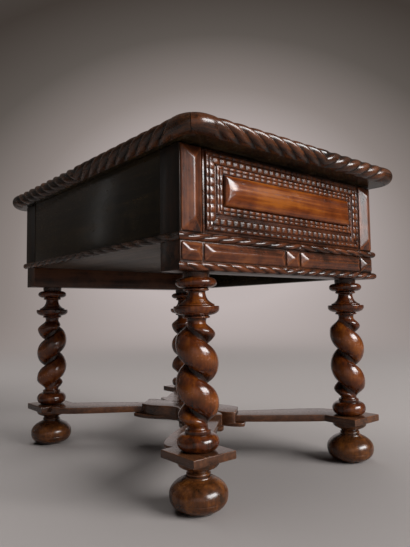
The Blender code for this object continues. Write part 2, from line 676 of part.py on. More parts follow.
def frame_strip(name, corners, profile, face):
    """Moulding along one side of a rectangle on the drawer's face, mitred at both ends.

    The profile is inset from the outer edge and rise from the face; corners are the strip's two outer ends
    with their inward ways in x and z.
    """
    rings = []
    for corner, inward in corners:
        inset = profile[:, :1] * inward
        depth = face - profile[:, 1]
        rings.append(np.stack([corner[0] + inset[:, 0], depth, corner[1] + inset[:, 1]], axis=1))
    return add_part(name, loft(name, rings), CARVED)


def build_frame(prefix, half_x, half_z, middle_z, profile, face):
    """Four mitred strips round a rectangle."""
    ends = {"top": ((-1, 1), (1, 1)), "bottom": ((-1, -1), (1, -1)),
            "left": ((-1, -1), (-1, 1)), "right": ((1, -1), (1, 1))}
    half = np.array((half_x, half_z))
    middle = np.array((0.0, middle_z))
    for name, (first, last) in ends.items():
        first, last = np.array(first), np.array(last)
        back = (last - first) / 2 * MITRE
        corners = [(middle + first * half + back, -first), (middle + last * half - back, -last)]
        frame_strip(f"{prefix}_{name}", corners, profile, face)


def outer_profile():
    """Narrow bead, quirk and broad bead, from the drawer's edge inwards."""
    w, h = OUTER_FRAME_WIDTH, OUTER_FRAME_RISE
    broad = arc((w * 0.64, h * 0.45), (w * 0.30, h * 0.55), 180, 0, 5)
    return np.array([(0.0, 0.0), (0.0, h * 0.5), (w * 0.13, h * 0.7), (w * 0.27, h * 0.5), *broad,
                     (w, h * 0.2), (w, 0.0)])


def inner_profile():
    """Two narrow beads side by side."""
    w, h = INNER_FRAME_WIDTH, INNER_FRAME_RISE
    return np.array([(0.0, 0.0), (0.0, h * 0.6), (w * 0.24, h), (w * 0.46, h * 0.6), (w * 0.54, h * 0.6),
                     (w * 0.76, h), (w, h * 0.6), (w, 0.0)])


def pillow_mesh(half_x, half_z, middle_z, face):
    """Raised panel whose four sides swell inwards to a ridge, as rectangles stacked away from the face."""
    rings = []
    reach = half_z - PILLOW_EDGE / 4
    swell = arc((reach, PILLOW_EDGE), (reach, PILLOW_RISE - PILLOW_EDGE), 180, 90, 6)
    for inset, rise in ((0.0, 0.0), *swell):
        x, z = half_x - inset, half_z - inset
        rings.append([(-x, face - rise, middle_z - z), (x, face - rise, middle_z - z),
                      (x, face - rise, middle_z + z), (-x, face - rise, middle_z + z)])
    return loft("drawer_pillow", rings)


def build_drawer():
    """Drawer box with its moulded front, hung on an empty at the middle of the opening."""
    half_x = BAY_X - SLIDE
    low = CASE_Z + SLIDE
    high = CASE_Z + CASE_HEIGHT - SLIDE
    front = -FRONT_Y
    behind = front + DRAWER_FRONT_THICK
    rear = FRONT_Y - BOARD_SETBACK - BOARD_THICK - DRAWER_REAR_ROOM
    middle_z = (low + high) / 2
    bottom = low + DRAWER_BOTTOM_RAISE
    bottom_top = bottom + DRAWER_BOTTOM_THICK
    side_top = high - DRAWER_SIDE_DROP
    inner_x = half_x - DRAWER_SIDE_THICK
    bed_x = inner_x + DRAWER_GROOVE
    groove = box_mesh("groove", (-bed_x - GAP, behind - DRAWER_GROOVE - GAP, bottom - GAP),
                      (bed_x + GAP, rear + DRAWER_GROOVE, bottom_top + GAP))
    cut(add_box("drawer_front", (-half_x, front, low), (half_x, behind, high), FIGURED), groove)
    for side, hand in SIDES.items():
        x0, x1 = sorted((hand * half_x, hand * inner_x))
        board = add_box(f"drawer_side_{side}", (x0, behind + GAP, low), (x1, rear, side_top), INNER)
        cut(board, groove)
    add_box("drawer_bottom", (-bed_x, behind - DRAWER_GROOVE, bottom), (bed_x, rear, bottom_top), INNER)
    add_box("drawer_back", (-inner_x + GAP, rear - DRAWER_SIDE_THICK, bottom_top + GAP),
            (inner_x - GAP, rear, side_top), INNER)
    face = front - GAP
    half_z = (high - low) / 2
    inset = DRAWER_MARGIN
    build_frame("drawer_frame", half_x - inset, half_z - inset, middle_z, outer_profile(), face)
    inset += OUTER_FRAME_WIDTH + GAP
    build_frame("drawer_bead", half_x - inset, half_z - inset, middle_z, inner_profile(), face)
    inset += INNER_FRAME_WIDTH + GAP
    add_part("drawer_pillow", pillow_mesh(half_x - inset, half_z - inset, middle_z, face), FIGURED)
    slide = bpy.data.objects.new("drawer_slide", None)
    slide.location = (0.0, front, middle_z)
    PARTS.objects.link(slide)
    bpy.context.view_layer.update()
    for part in [part for part in PARTS.objects if part.name.startswith("drawer_")]:
        if part.type == "MESH" and not part.name.startswith(("drawer_guide", "drawer_stop")):
            part.parent = slide
            part.matrix_parent_inverse = slide.matrix_world.inverted()


build_feet()
build_stretcher()
build_legs()
build_rails()
build_rail_panels()
build_small_ropes()
build_case()
build_top()
build_drawer()
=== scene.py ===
"""Miniature desk, dressed: carved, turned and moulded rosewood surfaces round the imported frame."""
import math

import bmesh
import bpy
import numpy as np
from mathutils import Matrix, Vector


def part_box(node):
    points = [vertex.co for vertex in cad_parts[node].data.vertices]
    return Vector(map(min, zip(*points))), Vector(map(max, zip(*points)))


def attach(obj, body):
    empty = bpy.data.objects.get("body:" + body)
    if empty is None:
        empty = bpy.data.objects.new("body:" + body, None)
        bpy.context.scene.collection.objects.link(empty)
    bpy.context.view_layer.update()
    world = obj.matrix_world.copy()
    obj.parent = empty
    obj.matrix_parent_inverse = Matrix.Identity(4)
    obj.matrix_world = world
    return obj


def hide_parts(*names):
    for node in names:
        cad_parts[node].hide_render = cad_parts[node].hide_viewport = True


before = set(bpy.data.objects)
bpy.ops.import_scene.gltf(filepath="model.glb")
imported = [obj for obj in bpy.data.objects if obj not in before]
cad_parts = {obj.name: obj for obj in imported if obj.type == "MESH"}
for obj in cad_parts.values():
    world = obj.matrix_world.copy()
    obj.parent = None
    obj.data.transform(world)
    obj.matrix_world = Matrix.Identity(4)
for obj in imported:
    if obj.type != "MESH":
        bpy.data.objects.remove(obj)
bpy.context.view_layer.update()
TURN = 2 * math.pi
GAP = 0.0003                     # between neighbouring pieces
ENDS = {"front": -1, "rear": 1}
SIDES = {"left": -1, "right": 1}


# Points and closed pieces


class Shell:
    """Grids of points that together make one closed piece, with how hollow and how worn each point is."""

    def __init__(self):
        self.points, self.faces, self.hollow, self.ridge = [], [], [], []
        self.count = 0

    def add(self, points, hollow, ridge):
        """Keeps points with their hollow and ridge values and gives their numbers in the piece."""
        shape = points.shape[:-1]
        index = np.arange(math.prod(shape)).reshape(shape) + self.count
        self.points.append(points.reshape(-1, 3))
        self.hollow.append(np.broadcast_to(hollow, shape).ravel())
        self.ridge.append(np.broadcast_to(ridge, shape).ravel())
        self.count += index.size
        return index

    def grid(self, points, hollow=0.0, ridge=0.0, wrap=False):
        """Quads between neighbouring rows and columns; wrap joins the last column to the first."""
        index = self.add(points, hollow, ridge)
        if wrap:
            index = np.concatenate([index, index[:, :1]], axis=1)
        quads = np.stack([index[:-1, :-1], index[:-1, 1:], index[1:, 1:], index[1:, :-1]], axis=-1)
        self.faces.extend(quads.reshape(-1, 4).tolist())

    def lid(self, ring):
        """One flat face across a ring of points."""
        self.faces.append(self.add(ring, 0.0, 0.0).tolist())

    def piece(self, name, finish, nodes, body="desk", sharp=38):
        """Merges the seams, turns the faces outwards and puts the piece in place of its nodes."""
        mesh = bpy.data.meshes.new(name)
        mesh.from_pydata(np.concatenate(self.points).tolist(), [], self.faces)
        for layer in ("hollow", "ridge"):
            values = np.concatenate(getattr(self, layer)).astype(np.float32)
            mesh.attributes.new(layer, "FLOAT", "POINT").data.foreach_set("value", values)
        shape = bmesh.new()
        shape.from_mesh(mesh)
        bmesh.ops.remove_doubles(shape, verts=shape.verts, dist=2e-6)
        bmesh.ops.dissolve_degenerate(shape, edges=shape.edges, dist=1e-6)
        bmesh.ops.recalc_face_normals(shape, faces=shape.faces)
        shape.to_mesh(mesh)
        shape.free()
        mesh.shade_smooth()
        mesh.set_sharp_from_angle(angle=math.radians(sharp))
        mesh.materials.append(finish)
        made = bpy.data.objects.new(name, mesh)
        bpy.context.scene.collection.objects.link(made)
        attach(made, body)
        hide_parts(*nodes)


def box(node):
    """Lowest and highest corners of a node as arrays."""
    low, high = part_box(node)
    return np.array(low), np.array(high)


def plan_middle(node):
    """Middle of a node's box, seen from above."""
    low, high = box(node)
    return (low[:2] + high[:2]) / 2


def arc(centre, radius, start, end, count):
    """Points on an ellipse: centre plus radius times cosine and sine, angles in degrees."""
    radius = np.broadcast_to(radius, 2)
    angles = np.radians(np.linspace(start, end, count))
    return np.array(centre) + radius * np.stack([np.cos(angles), np.sin(angles)], axis=1)


def bezier(points, count):
    """Cubic through its first and last of four points, weighted by the Bernstein terms."""
    a, b, c, d = np.array(points, float)
    t = np.linspace(0.0, 1.0, count)[:, None]
    return a * (1 - t) ** 3 + 3 * b * t * (1 - t) ** 2 + 3 * c * t * t * (1 - t) + d * t ** 3


def chain(*runs):
    """Runs of points one after another as one profile."""
    return np.concatenate([np.atleast_2d(run) for run in runs])


def smooth_least(a, b, blend):
    """Smaller of two lengths, rounded where they are within the blend of each other."""
    near = np.clip(0.5 + 0.5 * (b - a) / blend, 0.0, 1.0)
    return b + (a - b) * near - blend * near * (1 - near)


def rise_and_fall(value, low, high):
    """Smooth step: nought at low, one at high, three times the square less twice the cube between."""
    t = np.clip((value - low) / (high - low), 0.0, 1.0)
    return t * t * (3 - 2 * t)


def quarter_round(distance, width):
    """Rise from nought to one over a width: root of one less the square of what is left of the width."""
    left = 1.0 - np.clip(distance / width, 0.0, 1.0)
    return np.sqrt(np.clip(1.0 - left ** 2, 0.0, 1.0))


# Shader wiring


class Wire:
    """An output socket of a node tree. Arithmetic on it adds Math nodes."""

    def __init__(self, tree, socket=None):
        self.tree, self.socket = tree, socket

    def node(self, kind, settings=None, sockets=None, out=0):
        """Adds a node: its settings first, then its socket values or links, and gives one output."""
        made = self.tree.nodes.new(kind)
        for key, value in (settings or {}).items():
            if key == "stops":
                ramp = made.color_ramp.elements
                for _ in range(len(value) - len(ramp)):
                    ramp.new(0.5)
                for stop, (place, colour) in zip(ramp, value):
                    stop.position = place
                    stop.color = tone(*colour)
            else:
                setattr(made, key, value)
        for key, value in (sockets or {}).items():
            if isinstance(value, Wire):
                self.tree.links.new(value.socket, made.inputs[key])
            else:
                made.inputs[key].default_value = value
        return Wire(self.tree, made.outputs[out])

    def math(self, operation, *values, clamp=False):
        """One Math node on wires and numbers."""
        return self.node("ShaderNodeMath", {"operation": operation, "use_clamp": clamp}, dict(enumerate(values)))

    def __add__(self, other):
        return self.math("ADD", self, other)

    def __sub__(self, other):
        return self.math("SUBTRACT", self, other)

    def __rsub__(self, other):
        return self.math("SUBTRACT", other, self)

    def __mul__(self, other):
        return self.math("MULTIPLY", self, other)

    def __pow__(self, other):
        return self.math("POWER", self, other)

    __radd__ = __add__
    __rmul__ = __mul__

    def held(self):
        """Value kept between nought and one."""
        return self.math("ADD", self, 0.0, clamp=True)

    def step(self, low, high):
        """Smooth step between two values."""
        limits = {"Value": self, "From Min": low, "From Max": high}
        return self.node("ShaderNodeMapRange", {"interpolation_type": "SMOOTHSTEP"}, limits)

    def tint(self, base, other):
        """Colour from base to other by this value."""
        return self.node("ShaderNodeMix", {"data_type": "RGBA"}, {0: self, 6: base, 7: other}, out=2)


def new_finish(name, **constants):
    """Principled material with its constant sockets set: the start of its wiring, a way to link, the material."""
    material = bpy.data.materials.new(name)
    material.use_nodes = True
    tree = material.node_tree
    shader = tree.nodes["Principled BSDF"]
    for key, value in constants.items():
        shader.inputs[key.replace("_", " ")].default_value = value

    def link(**sockets):
        for key, wire in sockets.items():
            tree.links.new(wire.socket, shader.inputs[key.replace("_", " ")])

    return Wire(tree), link, material


def tone(red, green, blue):
    """Opaque colour for a socket."""
    return (red, green, blue, 1.0)


def grained(start, coords, grain, along, across, detail=2.0, warp=0.0, shift=0.0):
    """Noise drawn out along one axis: so many waves to the metre along the grain and across it."""
    scale = [across] * 3
    scale["xyz".index(grain)] = along
    place = start.node("ShaderNodeMapping", {}, {"Vector": coords, "Scale": scale, "Location": (shift, shift, shift)})
    return start.node("ShaderNodeTexNoise", {}, {"Vector": place, "Scale": 1.0, "Detail": detail,
                                                 "Roughness": 0.55, "Distortion": warp})


def rosewood(name, grain, tones, gloss, figure=1.0, coat=0.35, mottle=0.5, shine=0.5):
    """Old polished rosewood from its dark, middle and light tones.

    Broad bands and fine lines of figure run along the grain, with cloudy mottling, short dark pores, uneven old
    polish, hollows darkened partly by dirt and partly as painted shade, a rubbed, paler tone on the ridges and
    small pale chips along their tops.
    Gloss is the mean roughness, coat the weight of the polish; figure and mottle are the strength of the markings.
    """
    start, link, material = new_finish(name, Coat_Roughness=0.12, Specular_IOR_Level=shine)
    dark, middle, light = (np.array(part) for part in tones)
    coords = start.node("ShaderNodeTexCoord", out="Object")
    bands = grained(start, coords, grain, 4.0, 75.0, 3.0, 0.9)
    lines = grained(start, coords, grain, 14.0, 520.0, 2.0, 0.3, 3.7)
    pores = grained(start, coords, grain, 150.0, 2600.0, 1.0, 0.0, 9.1)
    patches = start.node("ShaderNodeTexNoise", {}, {"Vector": coords, "Scale": 26.0, "Detail": 3.0})
    clouds = start.node("ShaderNodeTexNoise", {}, {"Vector": coords, "Scale": 95.0, "Detail": 4.0, "Roughness": 0.6})
    specks = start.node("ShaderNodeTexNoise", {}, {"Vector": coords, "Scale": 640.0, "Detail": 2.0})
    hollow = start.node("ShaderNodeAttribute", {"attribute_name": "hollow"}, out="Fac")
    ridge = start.node("ShaderNodeAttribute", {"attribute_name": "ridge"}, out="Fac")
    figured = (bands - 0.5) * (1.6 * figure) + (lines - 0.5) * (0.8 * figure)
    figured = (figured + (patches - 0.5) * 0.8 + (clouds - 0.5) * (1.7 * mottle) + 0.5).held()
    body = start.node("ShaderNodeValToRGB", {"stops": [(0.20, dark), (0.50, middle), (0.82, light)]}, {"Fac": figured})
    vessel = pores.step(0.60, 0.74)
    body = (vessel * 0.55).tint(body, tone(*dark * 0.35))
    body = (ridge * (patches.step(0.30, 0.62) * 0.35 + 0.10)).held().tint(body, tone(*light * 1.5))
    chips = ridge.step(0.55, 0.95) * specks.step(0.54, 0.62) * patches.step(0.42, 0.60)
    body = (chips * 0.6).tint(body, tone(*light * 1.2 + 0.06))
    # Hollows darkened towards the dark tone: partly dirt, partly painted shade.
    body = (hollow * 0.90).held().tint(body, tone(*dark * 0.40))
    wear = (patches - 0.5) * 0.20 + (lines - 0.5) * 0.10 + (clouds - 0.5) * 0.12
    rough = (wear + gloss + hollow * 0.08 + vessel * 0.08).held()
    height = lines * 0.45 - vessel * 0.55 + patches * 0.8 + clouds * 0.35
    bump = start.node("ShaderNodeBump", {}, {"Strength": 0.35, "Distance": 0.0001, "Height": height})
    polish = (coat - hollow * coat - vessel * (coat * 0.4)).held()
    link(Base_Color=body, Roughness=rough, Coat_Weight=polish, Normal=bump)
    return material


def softwood(name, grain):
    """Plain pine or oak inside the drawer: pale lines of growth along the grain, dusty and unpolished."""
    start, link, material = new_finish(name, Specular_IOR_Level=0.3)
    coords = start.node("ShaderNodeTexCoord", out="Object")
    bands = grained(start, coords, grain, 3.0, 60.0, 2.0, 1.2)
    lines = grained(start, coords, grain, 9.0, 700.0, 2.0, 0.0, 5.3)
    dirt = start.node("ShaderNodeTexNoise", {}, {"Vector": coords, "Scale": 14.0, "Detail": 4.0})
    shade = ((bands - 0.5) * 1.4 + (lines - 0.5) * 0.8 + 0.5).held()
    body = start.node("ShaderNodeValToRGB", {"stops": [(0.15, (0.120, 0.058, 0.024)), (0.55, (0.250, 0.140, 0.062)),
                                                      (0.90, (0.360, 0.220, 0.110))]}, {"Fac": shade})
    body = (dirt.step(0.5, 0.72) * 0.55).tint(body, tone(0.070, 0.040, 0.022))
    bump = start.node("ShaderNodeBump", {}, {"Strength": 0.4, "Distance": 0.0002, "Height": lines + dirt * 0.5})
    link(Base_Color=body, Roughness=(0.55 + lines * 0.2).held(), Normal=bump)
    return material


TURNED = rosewood("turned_rosewood", "z", ((0.0270, 0.0075, 0.0020), (0.096, 0.0195, 0.0034),
                                           (0.230, 0.062, 0.0065)), 0.18, figure=0.60, coat=0.42, mottle=0.60)
FOOT = rosewood("foot_rosewood", "z", ((0.0330, 0.0130, 0.0040), (0.098, 0.0300, 0.0075),
                                       (0.230, 0.0760, 0.0130)), 0.24, figure=0.45, coat=0.32, mottle=0.80)
CARVED_X = rosewood("carved_rosewood_along_width", "x", ((0.0120, 0.0052, 0.0026), (0.058, 0.0160, 0.0058),
                                                         (0.150, 0.040, 0.0100)), 0.20)
EDGE_X = rosewood("edge_rosewood_along_width", "x", ((0.0120, 0.0056, 0.0028), (0.046, 0.0155, 0.0062),
                                                     (0.120, 0.036, 0.0110)), 0.25)
CARVED_Y = rosewood("carved_rosewood_along_depth", "y", ((0.0110, 0.0056, 0.0026), (0.040, 0.0150, 0.0056),
                                                         (0.105, 0.034, 0.0100)), 0.22)
CARVED_Z = rosewood("carved_rosewood_upright", "z", ((0.0200, 0.0056, 0.0022), (0.090, 0.0220, 0.0060),
                                                     (0.190, 0.050, 0.0110)), 0.17, coat=0.60)
STILE = rosewood("stile_rosewood", "z", ((0.0270, 0.0074, 0.0028), (0.115, 0.0280, 0.0075),
                                         (0.230, 0.0620, 0.0130)), 0.30)
PANEL_X = rosewood("panel_rosewood_along_width", "x", ((0.0260, 0.0086, 0.0036), (0.105, 0.0265, 0.0085),
                                                       (0.205, 0.0600, 0.0150)), 0.20, figure=0.9)
RIPPLE_X = rosewood("ripple_rosewood_along_width", "x", ((0.0220, 0.0075, 0.0032), (0.082, 0.0215, 0.0072),
                                                         (0.170, 0.046, 0.0120)), 0.23, coat=0.16, shine=0.3)
LIMB = rosewood("stretcher_rosewood", "y", ((0.0320, 0.0130, 0.0062), (0.078, 0.0290, 0.0130),
                                            (0.160, 0.0600, 0.0230)), 0.23, figure=0.7, coat=0.40, mottle=0.1)
BED = rosewood("bed_wood", "y", ((0.0350, 0.0250, 0.0180), (0.080, 0.0570, 0.0420),
                                 (0.140, 0.1000, 0.0740)), 0.38, coat=0.05)
FIGURED = rosewood("figured_rosewood", "x", ((0.0720, 0.0140, 0.0026), (0.175, 0.0370, 0.0046),
                                             (0.330, 0.0900, 0.0085)), 0.18, figure=1.1, mottle=0.30)
# Darker copies of the rosewood for the case's posts, boards, rails and top board: partly the wood's own tone, partly
# painted shade for the sides and rear that the lamps leave dark.
DARK_SHADED_X = rosewood("dark_shaded_rosewood_along_width", "x", ((0.0140, 0.0062, 0.0030), (0.048, 0.0165, 0.0066),
                                                     (0.096, 0.0330, 0.0120)), 0.32, coat=0.2, shine=0.4)
DARK_SHADED_Y = rosewood("dark_shaded_rosewood_along_depth", "y", ((0.0095, 0.0072, 0.0028), (0.0205, 0.0145, 0.0052),
                                                     (0.0390, 0.0240, 0.0082)), 0.20, coat=0.12, shine=0.35)
DARK_SHADED_Z = rosewood("dark_shaded_rosewood_upright", "z", ((0.0060, 0.0042, 0.0024), (0.0150, 0.0082, 0.0042),
                                                 (0.034, 0.0150, 0.0070)), 0.34, coat=0.1, shine=0.35)
INNER_Y = softwood("inner_softwood_along_depth", "y")
INNER_X = softwood("inner_softwood_along_width", "x")


# Turned pieces: feet and legs


def lathe(profile, x, y, sides):
    """Surface of revolution: each profile point's radius times cosine and sine of the turn, at its height."""
    angle = np.linspace(0.0, TURN, sides, endpoint=False)
    radius, height = profile[:, :1], profile[:, 1:]
    return np.stack([x + radius * np.cos(angle), y + radius * np.sin(angle),
                     height + 0.0 * angle], axis=-1)


# These values darken the turned hollows of feet and legs: partly dirt, partly painted shade.
def profile_hollows(profile, reach=4):
    """How deep each profile point lies under the mean radius of its neighbours, nought to one."""
    radius, deepest = profile[:, 0], 0.0012
    padded = np.pad(radius, reach, mode="edge")
    mean = np.convolve(padded, np.ones(2 * reach + 1) / (2 * reach + 1), mode="valid")
    return np.clip((mean - radius) / deepest, 0.0, 1.0)[:, None]


def ringed(profile, heights, depth, width):
    """Profile incised at some heights: its radius less a bell curve of a depth and a width at each."""
    for height in heights:
        profile[:, 0] -= depth * np.exp(-((profile[:, 1] - height) / width) ** 2)
    return profile


FOOT_RADIUS = 0.0231
BUN_MIDDLE = 0.0134              # height of the foot's widest place
BUN_HALF = 0.0140                # half the height of the whole bun
BUN_POWER = 2.5                  # of the fuller lower half


def foot_profile(top):
    """Bun foot from its bored top down: rim, cup, ringed neck, bun with incised lines, base. Radius and height.

    The bun is half an ellipse; in the lower half the squares of its formula become a higher power.
    """
    hole, tenon = 0.0061, 0.0133
    bun = arc((0.0, BUN_MIDDLE), (FOOT_RADIUS, BUN_HALF), 62, -73.2, 80)
    under = np.clip((BUN_MIDDLE - bun[:, 1]) / BUN_HALF, 0.0, 1.0)
    fuller = FOOT_RADIUS * (1.0 - under ** BUN_POWER) ** (1 / BUN_POWER)
    bun[:, 0] = np.where(under > 0.0, fuller, bun[:, 0])
    bun = ringed(bun, (0.0099, 0.0243), 0.0003, 0.0003)
    rim = arc((0.0155, top - 0.0010), 0.0010, 90, 0, 6)
    cup = bezier([(0.0165, top - 0.0026), (0.0164, top - 0.0060), (0.0092, 0.0328), (0.0084, 0.0301)], 20)
    ring = arc((0.0085, 0.0284), (0.0012, 0.0013), 80, -80, 9)
    step = [(0.0088, 0.0267), (0.0103, 0.0266), (0.0107, 0.0261)]
    base = [(bun[-1][0] - 0.0006, 0.0), (0.0, 0.0)]
    bore = [(0.0, top - tenon), (hole, top - tenon), (hole, top), (0.0150, top)]
    return chain(bore, rim, cup, ring, step, bun, base)


def build_feet():
    """Four bun feet under the pads of the stretcher."""
    for end in ENDS:
        for side in SIDES:
            node = f"foot_{end}_{side}"
            profile = foot_profile(box(node)[1][2])
            shell = Shell()
            shell.grid(lathe(profile, *plan_middle(node), 96), profile_hollows(profile, 3), wrap=True)
            shell.piece(f"bun_foot_{end}_{side}", FOOT, [node])


LEG_FOOT = 0.0462                # shoulder of the legs above the floor
UPPER_BUN_TOP = 0.1345           # this height and the next two are above the shoulder
TWIST_LOW = 0.0176
TWIST_HIGH = 0.0979
TWIST_NECK = 0.0078              # radius at both ends of the twist
TWIST_CREST = 0.0170
TWIST_ROOT = 0.0074
TWIST_RUN_OUT = 0.0105
STRAND_SHARE = 0.87              # of the section's round; the rest is groove
TWISTS = {"front_left": (0.0310, 170), "front_right": (0.0337, 112), "rear_left": (0.0310, 21),
          "rear_right": (0.0310, 21)}    # pitch, and degrees from +X where the strand starts


def leg_profiles():
    """Turned lengths of a leg below and above the twist, as radius and height above its shoulder.

    The ogee over the cup is a cubic, ringed near its foot.
    """
    below = chain([(0.0, -0.0189), (0.0058, -0.0189), (0.0058, 0.0), (0.0108, 0.0)],
                  arc((0.0110, 0.0063), (0.0057, 0.0063), -88, 88, 26),
                  [(0.0101, 0.0131), (0.0101, 0.0150)], arc((0.0093, 0.0152), 0.0008, 0, 80, 4),
                  bezier([(0.0086, 0.0160), (0.0081, 0.0163), (0.0079, 0.0170), (0.0078, 0.0175)], 5))
    ogee = bezier([(0.0130, 0.1138), (0.0110, 0.1158), (0.0078, 0.1165), (0.0073, 0.1228)], 60)
    ogee = ringed(ogee, (0.1147, 0.1156, 0.1166), 0.0004, 0.00028)
    above = chain(bezier([(0.0078, 0.0980), (0.0074, 0.0993), (0.0074, 0.1008), (0.0081, 0.1019)], 7),
                  arc((0.0097, 0.1031), (0.0012, 0.0009), -85, 85, 8), [(0.0098, 0.1042)],
                  bezier([(0.0101, 0.1044), (0.0140, 0.1048), (0.0180, 0.1062), (0.0183, 0.1096)], 18),
                  arc((0.0177, 0.1110), (0.0006, 0.0008), -20, 90, 6),
                  bezier([(0.0168, 0.1118), (0.0158, 0.1116), (0.0150, 0.1117), (0.0146, 0.1121)], 5),
                  arc((0.0139, 0.1128), (0.0007, 0.0007), -60, 80, 5), [(0.0133, 0.1136)],
                  ogee,
                  bezier([(0.0074, 0.1232), (0.0076, 0.1238), (0.0086, 0.1240), (0.0098, 0.1240)], 5),
                  arc((0.0094, 0.1250), (0.0009, 0.0008), -70, 70, 6), [(0.0092, 0.1262), (0.0104, 0.1264)],
                  arc((0.0108, 0.1304), (0.0057, 0.0040), -86, 86, 24),
                  [(0.0104, 0.1346), (0.0106, 0.1352), (0.0108, 0.1385), (0.0058, 0.1385), (0.0058, 0.1505),
                   (0.0, 0.1505)])
    return below, above


def leg_surface(hand, pitch, start):
    """Leg as a loft of round sections. In the twist the section has one notch and turns with height.

    The strand's radius at an angle from its crest is the root plus the crest's height times the root of one
    less that angle squared, so that every bulge is half an ellipse on a narrow core; it dies away towards both necks.
    """
    sides = 96
    angle = np.linspace(0.0, TURN, sides, endpoint=False)
    away = np.abs((angle + math.pi) % TURN - math.pi) / math.pi
    swell = np.sqrt(np.clip(1.0 - (away / STRAND_SHARE) ** 2, 0.0, 1.0))
    below, above = leg_profiles()
    height = np.linspace(TWIST_LOW, TWIST_HIGH, 150)
    to_end = np.minimum(height - TWIST_LOW, TWIST_HIGH - height)[:, None]
    grown = np.sin(math.pi / 2 * np.clip(to_end / TWIST_RUN_OUT, 0.0, 1.0)) ** 1.2
    twist = TWIST_NECK + (TWIST_ROOT - TWIST_NECK) * grown + (TWIST_CREST - TWIST_ROOT) * swell * grown
    radius = chain(np.repeat(below[:, :1], sides, 1), twist, np.repeat(above[:, :1], sides, 1))
    level = np.concatenate([below[:, 1], height, above[:, 1]])
    turned = np.clip(level - TWIST_LOW, 0.0, TWIST_HIGH - TWIST_LOW) * (TURN / pitch)
    theta = angle + math.radians(start) + hand * turned[:, None]
    points = np.stack([radius * np.cos(theta), radius * np.sin(theta), level[:, None] + 0.0 * theta], axis=-1)
    # Grooves of the twist are darkened: partly dirt, partly painted shade.
    groove = np.clip((away - 0.72) / 0.20, 0.0, 1.0) ** 2 * grown
    crest = np.clip(1.0 - away / 0.55, 0.0, 1.0) * grown
    # The neck above the upper bun is darkened as painted shadow under the case, on top of the turned hollows.
    hollows_and_neck_shade = np.maximum(profile_hollows(above), 0.8 * (above[:, 1:] > UPPER_BUN_TOP))
    hollow = chain(profile_hollows(below) + 0.0 * angle, groove, hollows_and_neck_shade + 0.0 * angle)
    ridge = chain(0.0 * below[:, :1] + 0.0 * angle, crest, 0.0 * above[:, :1] + 0.0 * angle)
    return points, hollow, ridge


def build_legs():
    """Barley-twist legs: the front pair turns one way, the rear pair the other."""
    for end, way in ENDS.items():
        for side in SIDES:
            points, hollow, ridge = leg_surface(way, *TWISTS[f"{end}_{side}"])
            shoulder = np.array((*plan_middle(f"foot_{end}_{side}"), LEG_FOOT))
            shell = Shell()
            shell.grid(points + shoulder, hollow, ridge, wrap=True)
            shell.piece(f"barley_leg_{end}_{side}", TURNED, [f"leg_{end}_{side}"], sharp=50)


# Carved ropes


EDGE_RADIUS = 0.0080
EDGE_CORNER = 0.0128             # radius of the strip's back round the top's corners
EDGE_CORNER_IN = 0.0125          # from the top board's sides to the corner's centre
EDGE_PITCH = 0.0168
EDGE_DEPTH = 0.0027              # of the grooves between strands
EDGE_SHALLOW = 0.0015            # of those at the right of the front strip
EDGE_TURN = 0.018                # where the front strip's strands change their lean
EDGE_PLAIN = 0.013               # left smooth before the mitres
EDGE_LEAN = 1.7                  # pitches from underside to top


def corner_path(half_run, half_across):
    """Line along one side of the top and round half of each corner, by distance from its middle.

    Straight as far as the corner, then on a quarter circle as far as its mitre; gives points and outward ways.
    """
    straight = half_run - EDGE_CORNER_IN
    quarter = EDGE_CORNER * math.pi / 4

    def place(s):
        turn = np.clip(np.abs(s) - straight, 0.0, quarter) / EDGE_CORNER * np.sign(s)
        along = np.clip(s, -straight, straight) + EDGE_CORNER * np.sin(turn)
        across = half_across - EDGE_CORNER_IN + EDGE_CORNER * np.cos(turn)
        return np.stack([along, across], axis=-1), np.stack([np.sin(turn), np.cos(turn)], axis=-1)

    return place, straight + quarter


def rope(shell, place, half_length, turn_at, radius, pitch, depths, plain, lean, lines=14, facets=25):
    """Half-round rope whose strands lean outwards, or inwards, from a turning point and fade before its ends.

    Rows of points follow the strands: a row's distance grows by the lean times the pitch from underside to top.
    The radius is the rope's less a groove wherever a row's count of strands is whole, rounded between grooves as
    one less the size of a sine. The place function turns distance along, reach outwards and height into points.
    """
    angles = np.radians(np.linspace(-90, 90, facets))
    slant = round(abs(lean) * lines)
    slope = math.copysign(slant, lean) * angles / math.pi
    for way, depth in zip((-1, 1), depths):
        end = half_length - way * turn_at
        count = round(end / pitch * lines)
        step = end / count
        row = np.arange(-slant, count + slant + 1)[:, None]
        far = np.clip((row + slope) * step, 0.0, end)
        strand = (far / step - slope) / lines
        groove = 1.0 - np.abs(np.sin(math.pi * strand))
        fade = 1.0 - rise_and_fall(far, end - plain - pitch * 0.6, end - plain)
        bite = groove * fade * np.sqrt(np.cos(angles) + 1e-9)
        near = np.exp(-far / pitch)
        reach = radius - (depth + (np.mean(depths) - depth) * near) * bite
        points = place(turn_at + way * far, reach * np.cos(angles), reach * np.sin(angles))
        crest = (1.0 - groove) ** 3 * fade * np.cos(angles)
        # Grooves between strands are darkened: partly dirt, partly painted shade.
        shell.grid(points, groove ** 3 * fade, crest)
        upper, lower = (-1, 0) if lean > 0 else (0, -1)
        back = np.stack([points[:-slant, upper], points[slant:, lower]], axis=1)
        shell.grid(back)
        shell.lid(points[-1])


